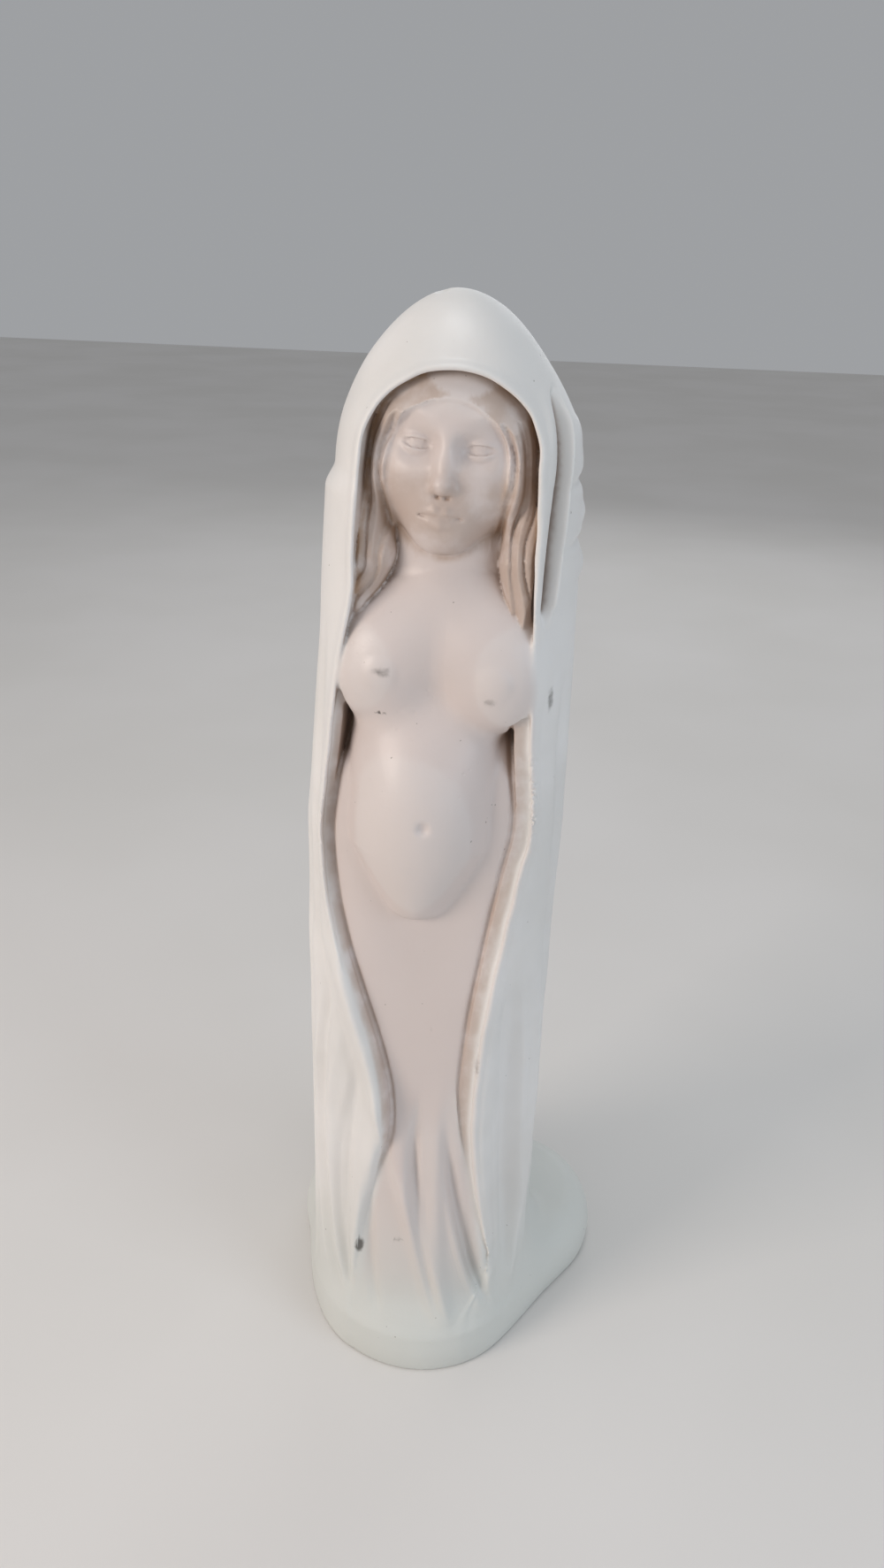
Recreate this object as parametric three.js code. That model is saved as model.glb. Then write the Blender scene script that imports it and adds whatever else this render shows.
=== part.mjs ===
// A cloaked fertility figurine, cast in one piece of resin that imitates alabaster.
// Millimetres, +Z up. She faces -Y and stands on Z = 0, with the origin under her axis.
//
// The casting is described first as clay: a field that is below zero inside the figurine, built up
// from named masses that are melted together and cut into each other. A skin of triangles is then
// drawn over the clay in half-slices, whose mesh lines follow the edge of the cloak.

import * as THREE from "three";

// Driving dimensions
const HEIGHT = 140;
const CLOAK_HALF_WIDTH = 16.25;
const CLOAK_DEPTH_SHARE = 0.94;
const SHOULDER_TAPER = 0.0456;
const TAPER_STARTS = 80;
const HOOD_FULLNESS = 13.8;
const HOOD_BLEND = 40;

// The opening of the cloak: height, then the place of its edge from the middle plane
const LEFT_EDGE = [
  [8, -8.3],
  [18, -7.1],
  [27, -5.6],
  [37, -4.9],
  [50, -7.6],
  [61, -10.1],
  [71, -12.4],
  [80, -13],
  [90, -11.9],
  [101, -10.8],
  [109, -8.9],
  [116, -8.1],
  [124, -7.2],
];
const RIGHT_EDGE = [
  [8, 8],
  [12, 9.7],
  [16, 10.7],
  [21, 10.1],
  [29, 8.8],
  [40, 7.9],
  [54, 8.6],
  [66, 10.2],
  [76, 11.8],
  [82, 12.8],
  [94, 12.1],
  [108, 10.9],
  [124, 10.8],
];
const ARCH_SPRING = 124;
const ARCH_RISE = 8.7;

// The cloak's edge: how fast it slopes into the recess, the bead along it, and the fillets there
const EDGE_SLOPE = 0.75;
const EDGE_SLOPE_LOW_LEFT = 0.4;
const EDGE_SLOPE_LOW_RIGHT = 0.9;
const EDGE_THICKNESS = 3;
const INNER_SLOPE = 0.3;
const EDGE_BEAD = 0.5;
const EDGE_ROLL = 0.8;
const EDGE_FILLET = 0.35;

// How deep the recess goes below the face of the cloak, and how far the back stands out, by height
const RECESS_DEPTH = [
  [0, 0],
  [12, 0.1],
  [22, 0.6],
  [34, 1.2],
  [46, 1.9],
  [70, 2.8],
  [80, 3.1],
  [86, 3.5],
  [90, 5.2],
  [94, 7],
  [108, 7.5],
  [124, 8.5],
];
const BACK_PROFILE = [
  [0, 3],
  [14, 2],
  [40, 0.2],
  [66, 0.8],
  [85, -0.2],
  [101, 0.8],
  [113, 0],
  [125, 0.3],
  [140, 0],
];

// The folds of the cloak. Angles are degrees from the front, + to the viewer's right, at the head,
// the middle and the foot of each fold. A fold of negative depth stands out as a ridge.
const fold = (head, middle, foot, top, bottom, width, depth) => ({
  head,
  middle,
  foot,
  top,
  bottom,
  width,
  depth,
});
const FRONT_FOLDS = [
  fold(-41, -44, -41, 76, 6, 1, 1.1),
  fold(-52, -53, -47, 108, 12, 1.1, 0.7),
  fold(-25, -27, -30, 50, 6, 0.8, 0.7),
  fold(-9, -13, -17, 40, 6, 0.9, 0.8),
  fold(1, 6, 17, 43, 5, 1, 1.2),
  fold(20, 28, 40, 37, 6, 0.9, 1.3),
  fold(51, 60, 56, 74, 8, 1.3, 1.1),
  fold(70, 74, 70, 104, 10, 1.4, 0.7),
  fold(10, 16, 28, 46, 4, 1.2, -0.8),
  fold(-5, -4, 1, 46, 5, 1.8, -1),
  fold(-34, -36, -36, 80, 6, 1.1, -0.7),
  fold(-19, -20, -23, 56, 8, 0.9, -0.5),
  fold(44, 47, 47, 56, 8, 1.4, -0.6),
  fold(98, 95, 93, 116, 9, 1.8, 1),
  fold(-79, -79, -75, 108, 8, 1.5, 0.8),
  fold(-66, -64, -60, 84, 8, 1.1, 0.6),
  fold(-96, -96, -93, 112, 9, 1.8, 1),
];
const BACK_FOLD_COUNT = 5;
const BACK_FOLDS_START = 120;
const BACK_FOLD_PITCH = 30;

// The train that the cloak spreads into: a rounded triangle with a pebble-like edge
const TRAIN_CORNERS = [
  [0.3, -4.7],
  [10.2, 10.8],
  [-6.3, 10],
];
const TRAIN_ROUNDING = 14.4;
const TRAIN_THICKNESS = 8.6;
const TRAIN_WIDEST = 2.8;
const TRAIN_EDGE = 4.4;
const TRAIN_UNDERCUT = 0.7;
const TRAIN_FILLET = 3;
const TRAIN_FILLET_BEHIND = 10;
const HEM_HEIGHT = 6;

// Where the head is, its tilt, and its hair
const HEAD_AT = [1.3, -3, 125.8];
const HEAD_TILT = THREE.MathUtils.degToRad(4);
const HOOD_THICKNESS = 1.2;
const STRAND_RELIEF = 0.4;
const STRAND_PITCH = 2.4;

// Round masses and round-ended limbs. Each is a field over points of the figurine, or of the head's
// own frame. Left and right are the viewer's.
const mass = (centre, radii) => (p) => ellipsoid(p, centre, radii);
const limb = (from, to, fromRadius, toRadius) => (p) => rod(p, from, to, fromRadius, toRadius);

const BODY_MIDDLE = 0.3;
const RIB_FLAT = 3.4;
const chest = mass([1.2, -1.6, 102.5], [13, 8.8, 9.5]);
const collar = mass([1.3, -2.4, 106.5], [12.5, 6.6, 6.6]);
const neck = limb([1.3, -3.8, 108], [1.5, -3.4, 118], 4.6, 4);
const ribs = mass([0, -1.6, 90], [7, 9.4, 13]);
const leftBreast = mass([-5.2, -7.3, 101.9], [6, 5.1, 5.6]);
const rightBreast = mass([7.4, -7.3, 101.9], [6, 5.1, 5.6]);
const belly = mass([0.2, -4.7, 82.5], [10.3, 10.3, 11.8]);
const lap = mass([0.3, -6, 76], [6, 8.2, 7.6]);
const leftThigh = limb([-6.6, -0.7, 79], [-3.2, -5.7, 38], 9, 7);
const rightThigh = limb([7, -0.7, 79], [4.3, -5.7, 38], 9, 7);

// Two knobs on the outer flap of the hood
const upperKnob = mass([14.6, 0.5, 117.3], [1.5, 2.6, 2]);
const lowerKnob = mass([14.6, 0.5, 111.4], [1.5, 2.6, 2.3]);

// The head, in its own frame: across, back and up from between the eyes
const skull = mass([0, 0.3, 1.9], [7.4, 8.5, 9.3]);
const middleFace = mass([0, -1.4, -2.4], [7.2, 6.6, 6.8]);
const jaw = mass([0, -2.4, -5.4], [6.2, 5.7, 5.4]);
const chin = mass([0, -5.9, -8.9], [2.1, 1.7, 1.6]);
const cheek = mass([3.9, -5.3, -2.9], [2.3, 2, 2.4]);
const muzzle = mass([0, -6.6, -6.5], [2.7, 1.6, 2.3]);
const eyeSocket = mass([2.9, -8.7, 0.1], [2, 1.5, 1.15]);
const nose = limb([0, -7.35, 1.5], [0, -8.8, -3.4], 0.5, 0.8);
const cap = mass([1.9, 0.4, 1.2], [7.6, 8, 10.4]);
const faceOval = mass([0, -9, -2.6], [6.9, 6.6, 10]);
const sideHair = mass([7, -1.5, -2], [1.9, 3.6, 9]);
const leftLock = [
  limb([-6.4, -4.4, 126], [-6.9, -5.4, 119], 1.8, 2.1),
  limb([-6.9, -5.4, 119], [-6.5, -7, 112.5], 2.1, 2.4),
  limb([-6.5, -7, 112.5], [-8.6, -7.4, 107.6], 2.4, 1.3),
];
const rightLock = [
  limb([9.2, -4.4, 126], [9.3, -5.4, 119], 1.8, 2.1),
  limb([9.3, -5.4, 119], [8.4, -7, 112.5], 2.1, 2.5),
  limb([8.4, -7, 112.5], [9.4, -7.4, 106.8], 2.5, 1.4),
];

// Clay tools
const clamp = THREE.MathUtils.clamp;

function ramp(low, high, v) {
  const t = clamp((v - low) / (high - low), 0, 1);
  return t * t * (3 - 2 * t);
}

const bump = (v) => Math.exp(-v * v);

// Joins two masses with a fillet of about the given size.
function melt(a, b, size) {
  const h = clamp(0.5 + (0.5 * (b - a)) / size, 0, 1);
  return b + (a - b) * h - size * h * (1 - h);
}

const cut = (a, tool, size) => -melt(-a, tool, size);

// A smooth curve through a few stations.
function along(stations, v) {
  const last = stations.length - 1;
  const x = clamp(v, stations[0][0], stations[last][0]);
  let i = 0;
  while (i < last - 1 && x >= stations[i + 1][0]) {
    i++;
  }
  const rise = (k) => {
    const before = stations[Math.max(k - 1, 0)];
    const after = stations[Math.min(k + 1, last)];
    return (after[1] - before[1]) / (after[0] - before[0]);
  };
  const [x0, y0] = stations[i];
  const [x1, y1] = stations[i + 1];
  const run = x1 - x0;
  const t = (x - x0) / run;
  const keep = 2 * t ** 3 - 3 * t ** 2 + 1;
  const leave = (t ** 3 - 2 * t ** 2 + t) * run * rise(i);
  const arrive = (t ** 3 - t ** 2) * run * rise(i + 1);
  return keep * y0 + (1 - keep) * y1 + leave + arrive;
}

function ellipsoid(p, centre, radii) {
  const x = (p[0] - centre[0]) / radii[0];
  const y = (p[1] - centre[1]) / radii[1];
  const z = (p[2] - centre[2]) / radii[2];
  const reach = Math.hypot(x, y, z);
  const steep = Math.hypot(x / radii[0], y / radii[1], z / radii[2]) + 1e-9;
  return (reach * (reach - 1)) / steep;
}

// A round-ended rod whose radius goes from one value to the other.
function rod(p, from, to, fromRadius, toRadius) {
  const d = [to[0] - from[0], to[1] - from[1], to[2] - from[2]];
  const q = [p[0] - from[0], p[1] - from[1], p[2] - from[2]];
  const share = (q[0] * d[0] + q[1] * d[1] + q[2] * d[2]) / (d[0] ** 2 + d[1] ** 2 + d[2] ** 2);
  const t = clamp(share, 0, 1);
  const away = Math.hypot(q[0] - t * d[0], q[1] - t * d[1], q[2] - t * d[2]);
  return away - (fromRadius + (toRadius - fromRadius) * t);
}

// The cloak
const axisShift = (z) => -0.6 + 1.4 * ramp(60, 120, z);

function cloakSquare(z) {
  const skirt = CLOAK_HALF_WIDTH - SHOULDER_TAPER * Math.max(z - TAPER_STARTS, 0);
  return melt(HOOD_FULLNESS * (HEIGHT - z), skirt * skirt, HOOD_BLEND);
}

const backFolds = Array.from({ length: BACK_FOLD_COUNT }, (_, i) => {
  const foot = BACK_FOLDS_START + BACK_FOLD_PITCH * i;
  const odd = i % 2;
  return fold(foot - 4 - i, foot + 5 - 10 * odd, foot, 126 - 9 * odd, 6, 2.3, 1.4);
});
const backRidges = backFolds.map(({ foot }, i) => {
  const crest = foot + BACK_FOLD_PITCH / 2;
  const odd = i % 2;
  return fold(crest - 8, crest - 5 + 10 * odd, crest, 112 + 8 * odd, 6, 1.6, -0.6);
});
const folds = [...FRONT_FOLDS, ...backFolds, ...backRidges];

// The shorter way round from one angle to another, in degrees.
const wayRound = (from, to) => to - from - 360 * Math.round((to - from) / 360);

// How far the folds sink the face of the cloak, at an angle round it and a height.
function foldDepth(angle, z, radius) {
  let depth = 0;
  for (const f of folds) {
    const t = clamp((f.top - z) / (f.top - f.bottom), -0.3, 1.3);
    const bend = f.head * (1 - t) * (1 - 2 * t) + 4 * f.middle * t * (1 - t);
    const centre = bend + f.foot * t * (2 * t - 1);
    const arc = THREE.MathUtils.degToRad(wayRound(centre, angle)) * radius;
    const fade = ramp(f.bottom - 3, f.bottom + 5, z) * (1 - ramp(f.top - 14, f.top + 2, z));
    depth += f.depth * fade * bump(arc / f.width);
  }
  return depth;
}

// A second fold runs down the hood beside its edge, under an outer flap.
function hoodFoldDepth(angle, z, radius) {
  const t = clamp((130 - z) / 22, 0, 1);
  const arc = THREE.MathUtils.degToRad(wayRound(88 - 34 * t ** 0.6, angle)) * radius;
  const fade = ramp(106, 110, z) * (1 - ramp(127.5, 131.5, z));
  const flap = 0.5 * bump(arc - 1.6);
  const roll = 0.35 * bump((arc + 1.6) / 0.9);
  const hollowTemple = 1.3 * bump((z - 123.5) / 4.5) * bump(wayRound(-95, angle) / 45);
  return fade * (1.5 * bump(arc / 0.8) - flap - roll) + hollowTemple;
}

// The cloak swells beside its edges, in a soft roll on the left and a low band on the right.
function edgeSwell(x, z) {
  const low = Math.min(z, ARCH_SPRING);
  const fromLeft = x - along(LEFT_EDGE, low);
  const fromRight = x - along(RIGHT_EDGE, low);
  const roll = 0.75 * bump((fromLeft + 1) / 1.2) * ramp(10, 22, z) * (1 - ramp(50, 66, z));
  const furrow = 0.5 * bump((fromLeft + 3.2) / 0.8) * ramp(20, 30, z) * (1 - ramp(60, 74, z));
  const band = 0.45 * bump(fromRight - 1.1) * ramp(8, 16, z) * (1 - ramp(70, 86, z));
  return roll - furrow + band;
}

// Where a point is on the cloak: its turn from the front in degrees, the cloak's radius there, and
// how far the folds sink its face.
function drape([x, y, z]) {
  const flare = 0.13 * (1 - ramp(6, 30, z)) * (1 - ramp(-6, 4, y));
  const share = CLOAK_DEPTH_SHARE + flare;
  const across = x - axisShift(z);
  const through = (y - along(BACK_PROFILE, z) * ramp(-4, 8, y)) / share;
  const radius = Math.sqrt(Math.max(cloakSquare(z), 1));
  const angle = THREE.MathUtils.radToDeg(Math.atan2(across, -through));
  return { across, through, share, radius, angle, creases: foldDepth(angle, z, radius) };
}

function cloakFace(p) {
  const [x, y, z] = p;
  const { across, through, share, radius, angle, creases } = drape(p);
  const square = cloakSquare(z);
  const slope = cloakSquare(z + 0.5) - cloakSquare(z - 0.5);
  const steep = Math.hypot(2 * across, (2 * through) / share, slope);
  const plain = (across ** 2 + through ** 2 - square) / Math.max(steep, 4);
  const swell = y < 0 ? edgeSwell(x, z) : 0;
  const face = plain + creases - swell + hoodFoldDepth(angle, z, radius);
  return melt(face, Math.min(upperKnob(p), lowerKnob(p)), 0.5);
}

// Below zero in front of the opening, and zero at its edge.
function openingAt(x, z) {
  const low = Math.min(z, ARCH_SPRING);
  const left = along(LEFT_EDGE, low);
  const right = along(RIGHT_EDGE, low);
  const half = (right - left) / 2;
  const up = Math.max(z - ARCH_SPRING, 0) / ARCH_RISE;
  return (Math.hypot((x - left - half) / half, up) - 1) * half;
}

function cloak(p) {
  const face = cloakFace(p);
  const [x, y, z] = p;
  const open = openingAt(x, z);
  const onLeft = 1 - ramp(0, 3, x);
  const lowLeft = (1 - ramp(50, 64, z)) * onLeft;
  const lowRight = (1 - ramp(62, 74, z)) * (1 - onLeft);
  const towardsLeft = (EDGE_SLOPE_LOW_LEFT - EDGE_SLOPE) * lowLeft;
  const towardsRight = (EDGE_SLOPE_LOW_RIGHT - EDGE_SLOPE) * lowRight;
  const edgeSlope = EDGE_SLOPE + towardsLeft + towardsRight;
  const inEdge = Math.min(-face, EDGE_THICKNESS);
  const wall = open + edgeSlope * inEdge + INNER_SLOPE * Math.max(-face - EDGE_THICKNESS, 0);
  const recess = Math.max(wall, -face - along(RECESS_DEPTH, z), y + 1);
  const fading = 1 - ramp(14, 26, z);
  const opened = cut(face, recess, EDGE_FILLET + 0.4 * lowLeft + 1.2 * fading);
  const thickness = (EDGE_BEAD + (EDGE_ROLL - EDGE_BEAD) * lowLeft) * (1 - fading);
  const bead = Math.hypot(open, face + 0.1 + 0.25 * lowLeft) - thickness;
  return melt(opened, Math.max(bead, y), 0.4 + 0.5 * lowLeft);
}

function train([x, y, z]) {
  let outside = Infinity;
  let inside = -Infinity;
  TRAIN_CORNERS.forEach(([ax, ay], i) => {
    const [bx, by] = TRAIN_CORNERS[(i + 1) % TRAIN_CORNERS.length];
    const ex = bx - ax;
    const ey = by - ay;
    const t = clamp(((x - ax) * ex + (y - ay) * ey) / (ex * ex + ey * ey), 0, 1);
    outside = Math.min(outside, Math.hypot(x - ax - t * ex, y - ay - t * ey));
    inside = Math.max(inside, ((x - ax) * ey - (y - ay) * ex) / Math.hypot(ex, ey));
  });
  const reach = (inside < 0 ? inside : outside) - TRAIN_ROUNDING + TRAIN_EDGE;
  const above = ((z - TRAIN_WIDEST) * TRAIN_EDGE) / (TRAIN_THICKNESS - TRAIN_WIDEST);
  const below = (TRAIN_WIDEST - z) * TRAIN_UNDERCUT;
  return Math.hypot(Math.max(reach, 0), z > TRAIN_WIDEST ? above : below) - TRAIN_EDGE;
}

// The bare figure inside the cloak
function figure(p) {
  const [x, y, z] = p;
  const breasts = Math.min(leftBreast(p), rightBreast(p));
  const thighs = melt(leftThigh(p), rightThigh(p), 2);
  const widened = [Math.max(Math.abs(x - BODY_MIDDLE) - RIB_FLAT, 0), y, z];
  let body = melt(melt(chest(p), collar(p), 2), neck(p), 3);
  body = melt(body, ribs(widened), 2);
  body = melt(body, breasts, 1.1 + 3.4 * ramp(98, 106, z));
  body = melt(body, melt(belly(p), lap(p), 3), 3);
  return melt(body, thighs, 0.9);
}

// The head's own frame: across, back and up from between the eyes, on the neck's axis.
function inHead([x, y, z]) {
  const dx = x - HEAD_AT[0];
  const dz = z - HEAD_AT[2];
  const across = dx * Math.cos(HEAD_TILT) - dz * Math.sin(HEAD_TILT);
  const up = dx * Math.sin(HEAD_TILT) + dz * Math.cos(HEAD_TILT);
  return [across, y - HEAD_AT[1], up];
}

function head(p) {
  const [across, back, up] = inHead(p);
  const centred = [across, back, up];
  const mirrored = [Math.abs(across), back, up];
  let face = melt(melt(skull(centred), middleFace(centred), 3), jaw(centred), 2.4);
  face = melt(face, chin(centred), 2);
  face = melt(face, cheek(mirrored), 2);
  face = melt(face, muzzle(centred), 1.6);
  face = cut(face, eyeSocket(mirrored), 1.3);
  return melt(face, nose(centred), 1);
}

function hair(p) {
  const [across, back, up] = inHead(p);
  const centred = [across, back, up];
  const mirrored = [Math.abs(across), back, up];
  const full = melt(cut(cap(mirrored), faceOval(centred), 0.7), sideHair(mirrored), 1.5);
  const locks = Math.min(...leftLock.map((part) => part(p)), ...rightLock.map((part) => part(p)));
  const outward = Math.hypot(Math.abs(across), 0.7 * Math.max(up + 1, 0));
  const strands = Math.abs(Math.sin((Math.PI * outward) / STRAND_PITCH));
  return melt(full, locks, 1.6) - STRAND_RELIEF * strands;
}

function clay(p) {
  const [, y, z] = p;
  const face = cloakFace(p);
  const { angle, creases } = drape(p);
  const ahead = 1 - ramp(55, 80, Math.abs(angle));
  const behind = ramp(140, 158, Math.abs(angle));
  const hem = 0.2 * bump((z - HEM_HEIGHT) / 0.9) * ahead;
  const sunk = creases * (0.6 * ahead * ramp(4, 9, z) + 0.8 * behind);
  const foot = train(p) + sunk - hem;
  const fillet = TRAIN_FILLET + (TRAIN_FILLET_BEHIND - TRAIN_FILLET) * ramp(6, 14, y) * behind;
  const draped = melt(melt(cloak(p), figure(p), 0.5), foot, fillet);
  const bust = Math.max(melt(head(p), hair(p), 0.15), face + HOOD_THICKNESS);
  return Math.min(draped, bust);
}

// The skin is drawn in half-slices. Each starts on the axis and turns from the front, out to one
// side, to the back. They climb the left side, fan over the hood and come down the right side.
const ROW_ZONES = [
  { upTo: 9, spacing: 1.25 },
  { upTo: 18, spacing: 1.8 },
  { upTo: 62, spacing: 4 },
  { upTo: 104, spacing: 2.3 },
  { upTo: ARCH_SPRING, spacing: 1.15 },
];
const FAN_SLICES = 20;
const OPENING_COLUMNS = 12;
const EDGE_COLUMNS = [-2.3, -1.1, -0.3, 0.6];
const FLANK_COLUMNS = 6;
const BACK_COLUMNS = 12;
const FARTHEST = 36;
const MARCH_STEP = 0.4;

function rowHeights() {
  const heights = [];
  let from = 0;
  for (const zone of ROW_ZONES) {
    const rows = Math.round((zone.upTo - from) / zone.spacing);
    for (let i = 0; i < rows; i++) {
      heights.push(from + ((zone.upTo - from) * i) / rows);
    }
    from = zone.upTo;
  }
  return heights;
}

const slice = (z, turn) => ({
  origin: [axisShift(z), 0, z],
  side: [Math.cos(turn), 0, Math.sin(turn)],
});

function halfSlices() {
  const rows = rowHeights();
  const left = rows.map((z) => slice(z, Math.PI));
  const right = rows.map((z) => slice(z, 0)).reverse();
  const fan = [];
  for (let i = 0; i <= FAN_SLICES; i++) {
    fan.push(slice(ARCH_SPRING, Math.PI * (1 - i / FAN_SLICES)));
  }
  return [...left, ...fan, ...right];
}

function pointOn({ origin, side }, turn, reach) {
  const out = Math.sin(turn) * reach;
  return [
    origin[0] + out * side[0],
    origin[1] - Math.cos(turn) * reach,
    origin[2] + out * side[2],
  ];
}

// How far out the outermost face of a field is, in one direction of a slice.
function reachOf(field, cutAt, turn) {
  let inner = FARTHEST;
  while (inner > 0 && field(pointOn(cutAt, turn, inner)) > 0) {
    inner -= MARCH_STEP;
  }
  let outer = inner + MARCH_STEP;
  for (let i = 0; i < 14; i++) {
    const middle = (inner + outer) / 2;
    if (field(pointOn(cutAt, turn, middle)) > 0) {
      outer = middle;
    } else {
      inner = middle;
    }
  }
  return outer;
}

// The turn at which a slice crosses the edge of the cloak.
function edgeTurn(cutAt) {
  let inside = 0;
  let outside = Math.PI / 2;
  for (let i = 0; i < 12; i++) {
    const turn = (inside + outside) / 2;
    const [x, , z] = pointOn(cutAt, turn, reachOf(cloakFace, cutAt, turn));
    if (openingAt(x, z) < 0) {
      inside = turn;
    } else {
      outside = turn;
    }
  }
  return inside;
}

function columnTurns(cutAt) {
  const edge = edgeTurn(cutAt);
  const radius = reachOf(cloakFace, cutAt, edge);
  const first = edge + EDGE_COLUMNS[0] / radius;
  const last = edge + EDGE_COLUMNS[EDGE_COLUMNS.length - 1] / radius;
  const turns = [];
  for (let i = 0; i < OPENING_COLUMNS; i++) {
    turns.push((first * i) / OPENING_COLUMNS);
  }
  for (const offset of EDGE_COLUMNS) {
    turns.push(edge + offset / radius);
  }
  for (let i = 1; i <= FLANK_COLUMNS; i++) {
    turns.push(last + ((Math.PI / 2 - last) * i) / FLANK_COLUMNS);
  }
  for (let i = 1; i <= BACK_COLUMNS; i++) {
    turns.push((Math.PI / 2) * (1 + i / BACK_COLUMNS));
  }
  return turns;
}

function skinGeometry() {
  const slices = halfSlices();
  const positions = [];
  const shared = new Map();
  const addPoint = (p) => {
    const key = p.map((v) => v.toFixed(3)).join();
    if (!shared.has(key)) {
      shared.set(key, positions.length / 3);
      positions.push(...p);
    }
    return shared.get(key);
  };
  const grid = slices.map((cutAt) => {
    const turns = columnTurns(cutAt);
    return turns.map((turn) => addPoint(pointOn(cutAt, turn, reachOf(clay, cutAt, turn))));
  });
  const triangles = [];
  const addTriangle = (a, b, c) => {
    if (a !== b && b !== c && c !== a) {
      triangles.push(a, b, c);
    }
  };
  for (let s = 0; s + 1 < grid.length; s++) {
    for (let j = 0; j + 1 < grid[s].length; j++) {
      addTriangle(grid[s][j], grid[s + 1][j], grid[s + 1][j + 1]);
      addTriangle(grid[s][j], grid[s + 1][j + 1], grid[s][j + 1]);
    }
  }
  const underside = addPoint([0, 0, 0]);
  const rim = [...grid[0], ...[...grid[grid.length - 1]].reverse()];
  rim.forEach((point, i) => {
    addTriangle(underside, point, rim[(i + 1) % rim.length]);
  });
  const geometry = new THREE.BufferGeometry();
  geometry.setAttribute("position", new THREE.Float32BufferAttribute(positions, 3));
  geometry.setIndex(triangles);
  geometry.computeVertexNormals();
  return geometry;
}

const resin = new THREE.MeshStandardMaterial({
  name: "alabaster_resin",
  color: 0xe9e2d8,
  roughness: 0.45,
  metalness: 0,
});

const figurine = new THREE.Mesh(skinGeometry(), resin);
figurine.name = "figurine";

const model = new THREE.Group();
model.name = "fertility_figurine";
model.add(figurine);

export default model;
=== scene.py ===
"""A cloaked fertility figurine, cast in one piece of resin that imitates alabaster, on a pale floor.

The scene is in metres. The figurine is worked out in millimetres as clay: a field that is below zero
inside it, built from masses that are melted together and cut into each other. A fine mesh is drawn
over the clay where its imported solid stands, and takes the solid's place.
"""

import math
from concurrent.futures import ThreadPoolExecutor

import bpy
import numpy as np
from mathutils import Matrix, Vector


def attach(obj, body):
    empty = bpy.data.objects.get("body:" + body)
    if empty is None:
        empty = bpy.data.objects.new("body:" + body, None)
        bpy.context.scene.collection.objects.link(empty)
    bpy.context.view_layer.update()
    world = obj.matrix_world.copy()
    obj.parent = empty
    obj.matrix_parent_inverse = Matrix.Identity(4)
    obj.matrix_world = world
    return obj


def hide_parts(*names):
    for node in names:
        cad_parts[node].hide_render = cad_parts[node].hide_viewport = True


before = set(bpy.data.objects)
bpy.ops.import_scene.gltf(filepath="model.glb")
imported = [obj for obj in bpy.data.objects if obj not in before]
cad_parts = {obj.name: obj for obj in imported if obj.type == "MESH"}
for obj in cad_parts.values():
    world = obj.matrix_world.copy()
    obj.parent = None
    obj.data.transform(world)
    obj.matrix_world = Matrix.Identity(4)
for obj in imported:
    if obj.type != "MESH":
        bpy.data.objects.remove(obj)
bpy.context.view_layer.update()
MM = 0.001

# The clay, in millimetres. A field is below zero inside a form; x, y and z are arrays of places.
HEIGHT = 140.0
CLOAK_HALF_WIDTH = 16.25
CLOAK_DEPTH_SHARE = 0.94
SHOULDER_TAPER = 0.0456
TAPER_STARTS = 80.0
HOOD_FULLNESS = 13.8
HOOD_BLEND = 40.0
ARCH_SPRING = 124.0
ARCH_RISE = 9.1

# The opening of the cloak: height, then the place of its edge from the middle plane
LEFT_EDGE = [(8, -8.0), (20, -6.8), (30, -5.3), (38, -4.1), (44, -4.3), (50, -5.6), (58, -8.2), (66, -10.9),
             (72, -12.3), (80, -13.0), (90, -11.9), (101, -10.6), (109, -9.0), (116, -8.8), (124, -8.2)]
RIGHT_EDGE = [(8, 8.0), (12, 9.7), (16, 10.7), (21, 10.1), (29, 8.8), (40, 7.9), (54, 8.6), (66, 10.2),
              (76, 11.8), (82, 12.8), (92, 12.2), (112, 11.6), (124, 11.3)]
# The lean of the recess's wall: beside the legs, beside the body and in the hood, left and right
WALL_LEANS = ((0.5, 0.75, 0.3), (1.3, 1.35, 0.15))
EDGE_THICKNESS = 1.7
INNER_SLOPE = 0.12
EDGE_BEAD = 0.45
EDGE_FILLET = 0.35

# How deep the recess goes below the cloak's face, and how far in front its floor may lie at most,
# then how far the back stands out, by height
RECESS_DEPTH = [(0, -0.3), (10, -0.2), (16, 0.1), (24, 0.4), (34, 0.7), (46, 0.9), (58, 1.2), (70, 1.4), (85, 1.5), (88, 2.2),
                (91, 4.6), (94, 6.8), (108, 7.5), (124, 8.5)]
RECESS_LEVEL = [(28, 16.8), (38, 14.4), (48, 13.0), (58, 11.9), (75, 10.7), (86, 9.5), (96, 8.5)]
BACK_PROFILE = [(0, 3.0), (14, 2.0), (40, 0.2), (66, 0.8), (85, -0.2), (101, 0.8), (113, 0.0), (125, 0.3), (140, 0.0)]

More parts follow.
